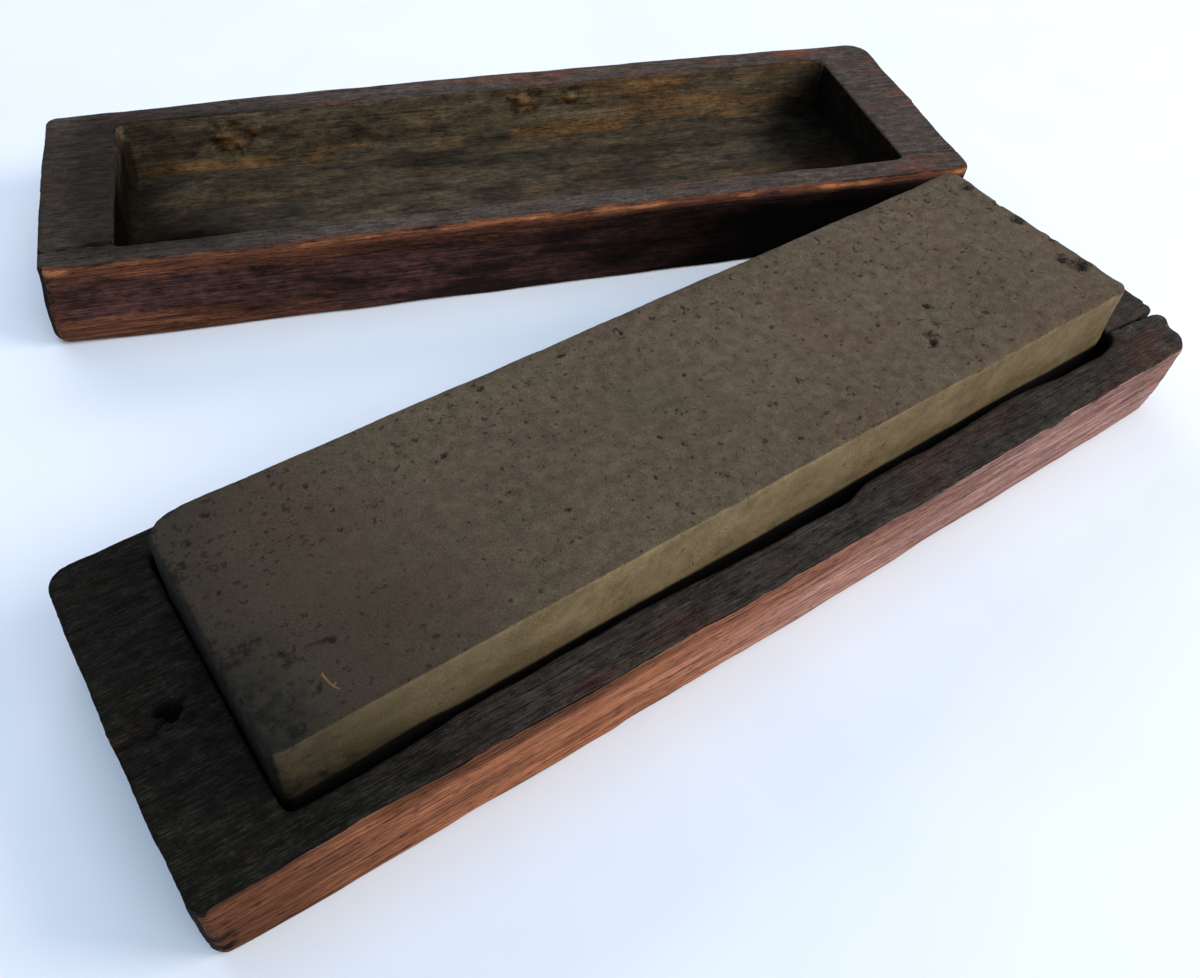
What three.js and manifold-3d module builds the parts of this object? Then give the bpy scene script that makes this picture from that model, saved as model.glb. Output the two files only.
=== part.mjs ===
// Bench whetstone in its two-part wooden box: a base with a recess that holds the stone, the stone,
// and the lid, which lies beside the base with its hollow facing up.
// Millimetres. +X runs along the base, +Y across it, +Z up; the origin is the centre of the base's underside.
import * as THREE from "three";
import Module from "manifold-3d";

// ---- driving dimensions -------------------------------------------------------------------------
const INCH = 25.4;
const GAP = 0.3; // clearance left between surfaces that touch

// the stone, a standard bench size
const STONE_LENGTH = 8 * INCH;
const STONE_WIDTH = 2 * INCH;
const STONE_THICKNESS = 1 * INCH;
const STONE_CORNER = 2.4; // plan radius of its upright corners
const STONE_ARRIS = 0.9; // rounding of its long and short edges
const STONE_X = -0.4; // where it lies in the recess
const STONE_Y = 1.0;
const STONE_TURN = 0.95; // degrees, it sits a little askew

// the box base
const BASE_LENGTH = 240.6;
const BASE_WIDTH = 71.0;
const BASE_HEIGHT = 20.6;
const BASE_ARRIS = 0.8;
const BASE_CORNERS = { nearLeft: 3.2, nearRight: 6.5, farRight: 6.0, farLeft: 8.5 };
const RECESS_LENGTH = 208.0;
const RECESS_WIDTH = 57.0;
const RECESS_DEPTH = 11.6;
const RECESS_Y = 1.0; // the far wall is thinner than the near one
const RECESS_CORNER = 2.0;

// the lid, cut to the same outline and closing over the stone
const LID_LENGTH = 239.6;
const LID_WIDTH = 70.0;
const LID_HEIGHT = 21.2;
const LID_ARRIS = 1.0;
const LID_CORNERS = { nearLeft: 4.0, nearRight: 4.0, farRight: 8.0, farLeft: 5.0 };
const LID_BELLY = 1.1; // how far its long sides swell at mid-length
const HOLLOW_LENGTH = 205.8;
const HOLLOW_WIDTH = 55.2;
const HOLLOW_CORNER = 1.8;
const HOLLOW_OVER_STONE = 1.4; // air over the stone when the lid is shut
const HOLLOW_X = 0.9; // the left wall is thicker than the right one
const HOLLOW_Y = 0.4;
const LID_X = 27.8; // where the lid lies beside the base
const LID_Y = 112.8;
const LID_TURN = -19.55; // degrees

// ---- derived ------------------------------------------------------------------------------------
const RECESS_FLOOR = BASE_HEIGHT - RECESS_DEPTH;
const STONE_BOTTOM = RECESS_FLOOR + GAP;
const STONE_PROUD = STONE_BOTTOM + STONE_THICKNESS - BASE_HEIGHT;
const HOLLOW_DEPTH = STONE_PROUD + HOLLOW_OVER_STONE;

// ---- helpers ------------------------------------------------------------------------------------
const wasm = await Module();
wasm.setup();

// A rectangle in plan with its own radius at each corner; its long sides may swell by `belly`.
function outline(length, width, corners, belly = 0) {
  const x = length / 2;
  const y = width / 2 - belly;
  const { nearLeft: a, nearRight: b, farRight: c, farLeft: d } = corners;
  const s = new THREE.Shape();
  s.moveTo(-x + a, -y);
  if (belly) s.quadraticCurveTo(0, -y - 2 * belly, x - b, -y);
  else s.lineTo(x - b, -y);
  s.absarc(x - b, -y + b, b, -Math.PI / 2, 0, false);
  s.lineTo(x, y - c);
  s.absarc(x - c, y - c, c, 0, Math.PI / 2, false);
  if (belly) s.quadraticCurveTo(0, y + 2 * belly, -x + d, y);
  else s.lineTo(-x + d, y);
  s.absarc(-x + d, y - d, d, Math.PI / 2, Math.PI, false);
  s.lineTo(-x, -y + a);
  s.absarc(-x + a, -y + a, a, Math.PI, 1.5 * Math.PI, false);
  return s;
}

const sameCorners = (r) => ({ nearLeft: r, nearRight: r, farRight: r, farLeft: r });

// A block of that outline from z = 0 to z = height, its top and bottom edges rounded by `arris`.
function block(shape, height, arris) {
  const g = new THREE.ExtrudeGeometry(shape, {
    depth: height - 2 * arris,
    curveSegments: 10,
    bevelEnabled: arris > 0,
    bevelThickness: arris,
    bevelSize: arris,
    bevelOffset: -arris,
    bevelSegments: 3,
  });
  return g.translate(0, 0, arris);
}

function toSolid(geometry) {
  const verts = geometry.getAttribute("position");
  const key = new Map();
  const points = [];
  const tris = [];
  const id = (i) => {
    const p = [verts.getX(i), verts.getY(i), verts.getZ(i)];
    const k = p.map((v) => Math.round(v * 1e4)).join(",");
    if (!key.has(k)) {
      key.set(k, points.length / 3);
      points.push(...p);
    }
    return key.get(k);
  };
  const index = geometry.index;
  const count = index ? index.count : verts.count;
  for (let i = 0; i < count; i += 3) {
    const t = [0, 1, 2].map((j) => id(index ? index.getX(i + j) : i + j));
    if (t[0] !== t[1] && t[1] !== t[2] && t[2] !== t[0]) tris.push(...t);
  }
  return new wasm.Manifold(
    new wasm.Mesh({
      numProp: 3,
      vertProperties: new Float32Array(points),
      triVerts: new Uint32Array(tris),
    }),
  );
}

function toMesh(solid, name, material) {
  const m = solid.getMesh();
  const g = new THREE.BufferGeometry();
  g.setAttribute("position", new THREE.BufferAttribute(new Float32Array(m.vertProperties), 3));
  g.setIndex(new THREE.BufferAttribute(new Uint32Array(m.triVerts), 1));
  const flat = g.toNonIndexed();
  flat.computeVertexNormals();
  const mesh = new THREE.Mesh(flat, material);
  mesh.name = name;
  return mesh;
}

// ---- box base -----------------------------------------------------------------------------------
const baseBlock = toSolid(block(outline(BASE_LENGTH, BASE_WIDTH, BASE_CORNERS), BASE_HEIGHT, BASE_ARRIS));
const recess = toSolid(
  block(outline(RECESS_LENGTH, RECESS_WIDTH, sameCorners(RECESS_CORNER)), RECESS_DEPTH + 4, 0),
).translate([0, RECESS_Y, RECESS_FLOOR]);
const boxBase = toMesh(
  baseBlock.subtract(recess),
  "box_base",
  new THREE.MeshStandardMaterial({ color: 0x5b3a2c, roughness: 0.75 }),
);

// ---- whetstone ----------------------------------------------------------------------------------
const stoneBlock = toSolid(
  block(outline(STONE_LENGTH, STONE_WIDTH, sameCorners(STONE_CORNER)), STONE_THICKNESS, STONE_ARRIS),
);
const whetstone = toMesh(
  stoneBlock.rotate([0, 0, STONE_TURN]).translate([STONE_X, STONE_Y, STONE_BOTTOM]),
  "whetstone",
  new THREE.MeshStandardMaterial({ color: 0x6b6155, roughness: 0.85 }),
);

// ---- box lid, hollow side up --------------------------------------------------------------------
const lidBlock = toSolid(
  block(outline(LID_LENGTH, LID_WIDTH, LID_CORNERS, LID_BELLY), LID_HEIGHT, LID_ARRIS),
);
const hollow = toSolid(
  block(outline(HOLLOW_LENGTH, HOLLOW_WIDTH, sameCorners(HOLLOW_CORNER)), HOLLOW_DEPTH + 4, 0),
).translate([HOLLOW_X, HOLLOW_Y, LID_HEIGHT - HOLLOW_DEPTH]);
const boxLid = toMesh(
  lidBlock.subtract(hollow).rotate([0, 0, LID_TURN]).translate([LID_X, LID_Y, 0]),
  "box_lid",
  new THREE.MeshStandardMaterial({ color: 0x4a3026, roughness: 0.75 }),
);

const whetstoneInBox = new THREE.Group();
whetstoneInBox.name = "boxed_whetstone";
whetstoneInBox.add(boxBase, whetstone, boxLid);
export default whetstoneInBox;
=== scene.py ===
"""Boxed bench whetstone: wooden base with the stone in its recess, and the lid lying open behind it."""
import functools
import math

import bpy
import numpy as np
from mathutils import Euler, Matrix, Vector


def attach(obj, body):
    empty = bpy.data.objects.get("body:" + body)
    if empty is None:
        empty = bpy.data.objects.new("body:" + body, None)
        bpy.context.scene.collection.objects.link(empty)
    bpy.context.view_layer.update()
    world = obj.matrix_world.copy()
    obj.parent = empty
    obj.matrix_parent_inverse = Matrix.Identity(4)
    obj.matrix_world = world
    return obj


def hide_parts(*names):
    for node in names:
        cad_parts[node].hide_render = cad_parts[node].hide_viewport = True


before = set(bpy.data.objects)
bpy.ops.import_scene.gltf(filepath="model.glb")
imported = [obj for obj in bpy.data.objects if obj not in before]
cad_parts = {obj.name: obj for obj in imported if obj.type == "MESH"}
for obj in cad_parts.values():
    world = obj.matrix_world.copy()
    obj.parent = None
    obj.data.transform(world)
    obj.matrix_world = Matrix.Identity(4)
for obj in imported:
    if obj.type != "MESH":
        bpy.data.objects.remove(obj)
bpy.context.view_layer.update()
MM = 0.001

# where things lie: mm, and degrees about +Z
STONE_AT, STONE_TURN = (-0.4, 1.0, 9.3), 0.95
LID_AT, LID_TURN = (27.8, 112.8, 0.0), -19.55


def placed(at, turn):
    return Matrix.Translation(Vector(at) * MM) @ Matrix.Rotation(math.radians(turn), 4, "Z")


# ---- noise
def _lattice(ix, iy, iz, seed):
    h = (ix * 374761393 + iy * 668265263 + iz * 1442695041 + seed * 974634777) & 0xFFFFFFFF
    h = ((h ^ (h >> 13)) * 1274126177) & 0xFFFFFFFF
    h = h ^ (h >> 16)
    return (h & 0xFFFFFF) / float(0xFFFFFF) * 2.0 - 1.0


def noise(x, y, z=0.0, seed=0):
    """Smooth lattice noise, -1 to 1, for arrays of points."""
    x, y, z = np.broadcast_arrays(np.asarray(x, float), np.asarray(y, float), np.asarray(z, float))
    ix, iy, iz = (np.floor(a).astype(np.int64) for a in (x, y, z))
    fx, fy, fz = x - ix, y - iy, z - iz
    ux, uy, uz = (f * f * f * (f * (f * 6 - 15) + 10) for f in (fx, fy, fz))
    r = np.zeros_like(x)
    for a in (0, 1):
        for b in (0, 1):
            for c in (0, 1):
                w = (ux if a else 1 - ux) * (uy if b else 1 - uy) * (uz if c else 1 - uz)
                r += w * _lattice(ix + a, iy + b, iz + c, seed)
    return r


def fbm(x, y, z=0.0, octaves=4, gain=0.5, seed=0):
    """Several octaves of noise added up, about -1 to 1."""
    x, y, z = (np.asarray(v) for v in (x, y, z))
    r, amp, total = 0.0, 1.0, 0.0
    for k in range(octaves):
        s = 2.0 ** k
        r = r + amp * noise(x * s + 17.3 * k, y * s - 9.1 * k, z * s + 5.7 * k, seed + 31 * k)
        total += amp
        amp *= gain
    return r / total


def step(a, b, v):
    """Rises smoothly from 0 to 1 as v goes from a to b."""
    t = np.clip((np.asarray(v, float) - a) / (b - a), 0, 1)
    return t * t * (3 - 2 * t)


def most(*layers):
    """The largest of these layers at each point."""
    return functools.reduce(np.maximum, layers)


def near_path(x, y, points):
    """Distance from each (x, y) to a polyline, and how far along it (0 to 1)."""
    best = np.full(np.shape(x), 1e9)
    along = np.zeros(np.shape(x))
    pts = np.asarray(points, float)
    seg = np.hypot(*(pts[1:] - pts[:-1]).T)
    run = np.concatenate([[0], np.cumsum(seg)])
    for (a, b, s, r0) in zip(pts[:-1], pts[1:], seg, run):
        t = np.clip(((x - a[0]) * (b[0] - a[0]) + (y - a[1]) * (b[1] - a[1])) / s ** 2, 0, 1)
        d = np.hypot(x - a[0] - t * (b[0] - a[0]), y - a[1] - t * (b[1] - a[1]))
        m = d < best
        best = np.where(m, d, best)
        along = np.where(m, (r0 + t * s) / run[-1], along)
    return best, along


# ---- meshes
def lines(breaks, steps):
    """Grid lines through all breaks, about one step apart between them."""
    out = []
    for a, b, s in zip(breaks[:-1], breaks[1:], steps):
        n = max(1, int(round((b - a) / s)))
        out.append(np.linspace(a, b, n + 1)[:-1])
    return np.concatenate(out + [[breaks[-1]]])


TOP, UNDER, WALL, FLOOR, INNER = range(5)


class Block:
    """A block on a tensor grid, with an optional pocket in its top, as one closed quad surface.
    P holds its corners in mm before it is shaped; Q is the shaped copy."""

    def __init__(self, X, Y, Z, pocket=None, ZP=None):
        n, m = len(X), len(Y)
        self.verts, self.part, self.quads = [], [], []
        self.count = 0
        gx, gy = np.meshgrid(X, Y, indexing="ij")
        under = self._add(gx, gy, np.full_like(gx, Z[0]), UNDER)
        top = self._add(gx, gy, np.full_like(gx, Z[-1]), TOP)
        self._sheet(under[::-1], np.ones((n - 1, m - 1), bool))
        keep = np.ones((n - 1, m - 1), bool)
        ring = self._loop(0, n - 1, 0, m - 1)
        self._walls(ring, X, Y, Z, under, top, WALL, False)
        if pocket:
            i0, i1, j0, j1 = pocket
            keep[i0:i1, j0:j1] = False
            fx, fy = np.meshgrid(X[i0:i1 + 1], Y[j0:j1 + 1], indexing="ij")
            fl = self._add(fx, fy, np.full_like(fx, ZP[0]), FLOOR)
            self._sheet(fl, np.ones((i1 - i0, j1 - j0), bool))
            floor = np.full((n, m), -1)
            floor[i0:i1 + 1, j0:j1 + 1] = fl
            self._walls(self._loop(i0, i1, j0, j1), X, Y, ZP, floor, top, INNER, True)
        self._sheet(top, keep)
        self.P = np.concatenate(self.verts)
        self.part = np.concatenate(self.part)
        quads = np.concatenate(self.quads)
        used = np.zeros(len(self.P), bool)
        used[quads] = True
        new = np.cumsum(used) - 1
        self.P, self.part, self.quads = self.P[used], self.part[used], new[quads]
        self.Q = self.P.copy()

    def _add(self, x, y, z, part):
        ids = np.arange(self.count, self.count + x.size).reshape(x.shape)
        self.verts.append(np.stack([x.ravel(), y.ravel(), z.ravel()], 1))
        self.part.append(np.full(x.size, part))
        self.count += x.size
        return ids

    def _sheet(self, ids, keep):
        q = np.stack([ids[:-1, :-1], ids[1:, :-1], ids[1:, 1:], ids[:-1, 1:]], -1)
        self.quads.append(q[keep])

    @staticmethod
    def _loop(i0, i1, j0, j1):
        a = [(i, j0) for i in range(i0, i1)] + [(i1, j) for j in range(j0, j1)]
        return a + [(i, j1) for i in range(i1, i0, -1)] + [(i0, j) for j in range(j1, j0, -1)]

    def _walls(self, ring, X, Y, Z, low, high, part, flip):
        ii = np.array([r[0] for r in ring])
        jj = np.array([r[1] for r in ring])
        rows = [low[ii, jj]]
        for z in Z[1:-1]:
            rows.append(self._add(X[ii], Y[jj], np.full(len(ii), z), part))
        rows.append(high[ii, jj])
        for a, b in zip(rows[:-1], rows[1:]):
            a2, b2 = np.roll(a, -1), np.roll(b, -1)
            q = np.stack([a, a2, b2, b], 1)
            self.quads.append(q[:, ::-1] if flip else q)

    def on(self, part):
        return self.part == part

    def normals(self):
        q, P = self.quads, self.Q
        fn = np.cross(P[q[:, 2]] - P[q[:, 0]], P[q[:, 3]] - P[q[:, 1]])
        vn = np.zeros_like(P)
        for k in range(4):
            np.add.at(vn, q[:, k], fn)
        return vn / np.maximum(np.linalg.norm(vn, axis=1, keepdims=True), 1e-12)

    def push(self, amount):
        self.Q = self.Q + self.normals() * np.asarray(amount)[:, None]

    def smooth(self, where, times=1, factor=0.5):
        q = self.quads
        n = len(self.Q)
        for _ in range(times):
            acc, cnt = np.zeros_like(self.Q), np.zeros(n)
            for a, b in ((0, 1), (1, 2), (2, 3), (3, 0)):
                np.add.at(acc, q[:, a], self.Q[q[:, b]])
                np.add.at(acc, q[:, b], self.Q[q[:, a]])
                np.add.at(cnt, q[:, a], 1)
                np.add.at(cnt, q[:, b], 1)
            self.Q = self.Q + (factor * np.asarray(where, float))[:, None] * (acc / cnt[:, None] - self.Q)

    def build(self, name, layers):
        me = bpy.data.meshes.new(name)
        me.from_pydata((self.Q * MM).tolist(), [], self.quads.tolist())
        me.update()
        me.shade_smooth()
        for key, values in layers.items():
            a = me.attributes.new(key, "FLOAT", "POINT")
            a.data.foreach_set("value", np.asarray(values, np.float32))
        ob = bpy.data.objects.new(name, me)
        bpy.context.scene.collection.objects.link(ob)
        return ob


def quadrant(x, y, radii):
    """The radius of the corner that each point is nearest to."""
    nl, nr, fr, fl = radii
    return np.where(y < 0, np.where(x < 0, nl, nr), np.where(x < 0, fl, fr))


def round_plan(x, y, hx, hy, radii):
    """Moves points near a rectangle's corners so that its outline gets these radii."""
    R = quadrant(x, y, radii)
    sx, sy = np.where(x < 0, -1, 1), np.where(y < 0, -1, 1)
    dx, dy = x * sx - (hx - R), y * sy - (hy - R)
    m = (dx > 1e-9) & (dy > 1e-9)
    k = np.where(m, np.maximum(dx, dy) / np.maximum(np.hypot(dx, dy), 1e-9), 1)
    return np.where(m, sx * (hx - R + dx * k), x), np.where(m, sy * (hy - R + dy * k), y)


def rim_distance(x, y, hx, hy, radii):
    """Signed distance to a rounded rectangle (negative inside), and its outward direction."""
    R = quadrant(x, y, radii)
    sx, sy = np.where(x < 0, -1, 1), np.where(y < 0, -1, 1)
    qx, qy = x * sx - (hx - R), y * sy - (hy - R)
    ox, oy = np.maximum(qx, 0), np.maximum(qy, 0)
    out = np.hypot(ox, oy)
    corner = out > 1e-9
    d = out + np.minimum(np.maximum(qx, qy), 0) - R
    nx = np.where(corner, ox / np.maximum(out, 1e-9), (qx >= qy) * 1.0)
    ny = np.where(corner, oy / np.maximum(out, 1e-9), (qx < qy) * 1.0)
    return d, nx * sx, ny * sy


def soften(u, v, r):
    """A point u in from an edge on one face and v down it on the other goes onto a round of radius r."""
    du, dv = r - u, r - v
    m = (du > 0) & (dv > 0)
    k = np.where(m, np.maximum(du, dv) / np.maximum(np.hypot(du, dv), 1e-9), 1)
    return np.where(m, r - du * k, u), np.where(m, r - dv * k, v)


def shape(block, H, hx, hy, radii, top_r, low_r, pocket=None):
    """Rounds a block: plan corners (near left, near right, far right, far left), top and bottom
    edges, and its pocket's corners, mouth and floor. top_r, low_r and the mouth's radius are arrays."""
    x, y, z = block.P.T.copy()
    inner = (block.part == FLOOR) | (block.part == INNER)
    if pocket:
        cx, cy, px, py, pr, mouth, zf, fillet = pocket
        edge = ~inner & (block.part == TOP) & (np.abs(x - cx) <= px + 1e-6) & (np.abs(y - cy) <= py + 1e-6)
        ins = inner | edge
        a, c = round_plan(x - cx, y - cy, px, py, (pr,) * 4)
        x, y = np.where(ins, a + cx, x), np.where(ins, c + cy, y)
    a, c = round_plan(x, y, hx, hy, radii)
    x, y = np.where(inner, x, a), np.where(inner, y, c)
    d, nx, ny = rim_distance(x, y, hx, hy, radii)
    s = np.maximum(-d, 0)
    outer = ~inner
    s1, t1 = soften(s, H - z, top_r)
    s2, t2 = soften(s, z, low_r)
    upper = z > H / 2
    sn = np.where(upper, s1, s2)
    x = np.where(outer, x + nx * (s - sn), x)
    y = np.where(outer, y + ny * (s - sn), y)
    z = np.where(outer, np.where(upper, H - t1, t2), z)
    if pocket:
        d, nx, ny = rim_distance(x - cx, y - cy, px, py, (pr,) * 4)
        on_top = outer & (block.part == TOP)
        sd = np.maximum(d, 0)
        s1, t1 = soften(sd, H - z, mouth)
        use = on_top & (sd < mouth)
        x = np.where(use, x - nx * (sd - s1), x)
        y = np.where(use, y - ny * (sd - s1), y)
        z = np.where(use, H - t1, z)
        wall = (block.part == INNER)
        s1, t1 = soften(np.zeros_like(z), H - z, mouth)
        x = np.where(wall, x + nx * s1, x)
        y = np.where(wall, y + ny * s1, y)
        z = np.where(wall, H - t1, z)
        ins = np.maximum(-d, 0)
        on_floor = block.on(FLOOR)
        in_wall = np.where(on_floor, ins, 0)
        s3, t3 = soften(in_wall, np.where(on_floor, 0, z - zf), fillet)
        low = inner & (z < zf + fillet)
        x = np.where(low, x - nx * (s3 - in_wall), x)
        y = np.where(low, y - ny * (s3 - in_wall), y)
        z = np.where(low, zf + t3, z)
    block.Q = np.stack([x, y, z], 1)


def hollowed(X, Y, Z, ZP, left, right, near, far):
    """A block with a pocket between these walls, from ZP's first height up to the top."""
    i0, i1 = (int(np.argmin(abs(X - v))) for v in (left, right))
    j0, j1 = (int(np.argmin(abs(Y - v))) for v in (near, far))
    return Block(X, Y, Z, (i0, i1, j0, j1), ZP)


def pocket_shape(left, right, near, far, corner, mouth, floor, fillet):
    middle, half = ((left + right) / 2, (near + far) / 2), ((right - left) / 2, (far - near) / 2)
    return (*middle, *half, corner, mouth, floor, fillet)


def cracks(x, y, where, splits, relief, dirt):
    """Cuts and darkens narrow splits, each given as a path in plan, its width, depth and taper."""
    for path, width, depth, taper in splits:
        d, t = near_path(x, y + 0.25 * noise(x / 2.2, 1, 0, 20), path)
        wide = width * (1 - 0.75 * (t ** 2) * taper)
        cut = np.clip(1 - (d / np.maximum(wide, 0.08)) ** 2, 0, 1)
        relief = relief - depth * cut * where * (1 - 0.5 * t * taper)
        dirt = np.maximum(dirt, np.clip(cut * (0.7 + 0.4 * (depth > 2)), 0, 1) * where)
    return relief, dirt


def curve(points):
    """A smooth function through a few (position, value) pairs."""
    px, py = np.asarray(points, float).T
    fine = np.linspace(px[0], px[-1], 400)
    v = np.interp(fine, px, py)
    k = np.ones(9) / 9
    v = np.convolve(np.pad(v, 4, mode="edge"), k, mode="valid")
    return lambda q: np.interp(q, fine, v)


# ---- materials
class Shade:
    """Small helper for building one node material; vectors are object coordinates in mm."""

    def __init__(self, name):
        self.mat = bpy.data.materials.new(name)
        self.mat.use_nodes = True
        self.t = self.mat.node_tree
        self.t.nodes.clear()
        self.out = self.t.nodes.new("ShaderNodeOutputMaterial")
        self.p = self.t.nodes.new("ShaderNodeBsdfPrincipled")
        self.t.links.new(self.p.outputs[0], self.out.inputs[0])
        tc = self.t.nodes.new("ShaderNodeTexCoord")
        self.pos = self.vmath("MULTIPLY", tc.outputs["Object"], (1000, 1000, 1000))

    def put(self, socket, value):
        if isinstance(value, bpy.types.NodeSocket):
            self.t.links.new(value, socket)
            return
        if socket.type == "RGBA" and len(value) == 3:
            value = (*value, 1.0)
        socket.default_value = value

    def vmath(self, op, a, b):
        n = self.t.nodes.new("ShaderNodeVectorMath")
        n.operation = op
        self.put(n.inputs[0], a)
        self.put(n.inputs[1], b)
        return n.outputs[0]

    def math(self, op, a, b=0.0, clamp=False):
        n = self.t.nodes.new("ShaderNodeMath")
        n.operation = op
        n.use_clamp = clamp
        self.put(n.inputs[0], a)
        self.put(n.inputs[1], b)
        return n.outputs[0]

    def mul(self, a, b):
        return self.math("MULTIPLY", a, b)

    def add(self, a, b, clamp=False):
        return self.math("ADD", a, b, clamp)

    def sub(self, a, b):
        return self.math("SUBTRACT", a, b)

    def total(self, *parts):
        """Sum of (value, weight) pairs."""
        terms = [self.mul(value, weight) for value, weight in parts]
        result = terms.pop()
        while terms:
            result = self.add(terms.pop(), result)
        return result

    def noise(self, stretch, detail=4.0, rough=0.55, shift=(0, 0, 0), distort=0.0):
        v = self.vmath("ADD", self.vmath("MULTIPLY", self.pos, stretch), shift)
        n = self.t.nodes.new("ShaderNodeTexNoise")
        self.put(n.inputs["Vector"], v)
        n.inputs["Scale"].default_value = 1.0
        n.inputs["Detail"].default_value = detail
        n.inputs["Roughness"].default_value = rough
        n.inputs["Distortion"].default_value = distort
        return n.outputs["Fac"]

    def cells(self, stretch, shift=(0, 0, 0)):
        v = self.vmath("ADD", self.vmath("MULTIPLY", self.pos, stretch), shift)
        n = self.t.nodes.new("ShaderNodeTexVoronoi")
        self.put(n.inputs["Vector"], v)
        n.inputs["Scale"].default_value = 1.0
        return n.outputs["Distance"]

    def span(self, v, a, b, lo=0.0, hi=1.0, smooth=True):
        n = self.t.nodes.new("ShaderNodeMapRange")
        n.interpolation_type = "SMOOTHSTEP" if smooth else "LINEAR"
        self.put(n.inputs["Value"], v)
        for key, val in (("From Min", a), ("From Max", b), ("To Min", lo), ("To Max", hi)):
            self.put(n.inputs[key], val)
        return n.outputs["Result"]

    def axis(self, k):
        n = self.t.nodes.new("ShaderNodeSeparateXYZ")
        self.put(n.inputs[0], self.pos)
        return n.outputs[k]

    def strand(self, points, z, r0, r1):
        """1 along a thin tapering polyline lying at height z, 0 elsewhere."""
        best = None
        for (a, b, w) in zip(points[:-1], points[1:], np.linspace(r0, r1, len(points) - 1)):
            ab = (b[0] - a[0], b[1] - a[1], 0.0)
            pa = self.vmath("SUBTRACT", self.pos, (a[0], a[1], z))
            n = self.t.nodes.new("ShaderNodeVectorMath")
            n.operation = "DOT_PRODUCT"
            self.put(n.inputs[0], pa)
            self.put(n.inputs[1], tuple(v / (ab[0] ** 2 + ab[1] ** 2) for v in ab))
            t = self.math("MULTIPLY", n.outputs["Value"], 1.0, clamp=True)
            m = self.t.nodes.new("ShaderNodeVectorMath")
            m.operation = "SCALE"
            self.put(m.inputs[0], ab)
            self.put(m.inputs["Scale"], t)
            k = self.t.nodes.new("ShaderNodeVectorMath")
            k.operation = "LENGTH"
            self.put(k.inputs[0], self.vmath("SUBTRACT", pa, m.outputs[0]))
            v = self.span(k.outputs["Value"], w * 1.25, w * 0.75)
            best = v if best is None else self.math("MAXIMUM", best, v)
        return best

    def ramp(self, v, stops):
        n = self.t.nodes.new("ShaderNodeValToRGB")
        e = n.color_ramp.elements
        while len(e) < len(stops):
            e.new(0.5)
        for el, (at, col) in zip(e, stops):
            el.position, el.color = at, (*col, 1.0)
        self.put(n.inputs[0], v)
        return n.outputs[0]

    def shades(self, v, dark, middle, light):
        return self.ramp(v, [(0.0, dark), (0.5, middle), (1.0, light)])

    def mix(self, f, a, b, blend="MIX"):
        n = self.t.nodes.new("ShaderNodeMix")
        n.data_type, n.blend_type, n.clamp_factor = "RGBA", blend, True
        self.put(n.inputs[0], f)
        self.put(n.inputs[6], a)
        self.put(n.inputs[7], b)
        return n.outputs[2]

    def attr(self, name):
        n = self.t.nodes.new("ShaderNodeAttribute")
        n.attribute_name = name
        return n.outputs["Fac"]

    def bump(self, height, distance, strength):
        n = self.t.nodes.new("ShaderNodeBump")
        n.inputs["Distance"].default_value = distance
        n.inputs["Strength"].default_value = strength
        self.put(n.inputs["Height"], height)
        return n.outputs[0]

    def finish(self, color, rough, normal, specular):
        self.put(self.p.inputs["Base Color"], color)
        self.put(self.p.inputs["Roughness"], rough)
        self.put(self.p.inputs["Specular IOR Level"], specular)
        if normal is not None:
            self.put(self.p.inputs["Normal"], normal)
        return self.mat


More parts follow.
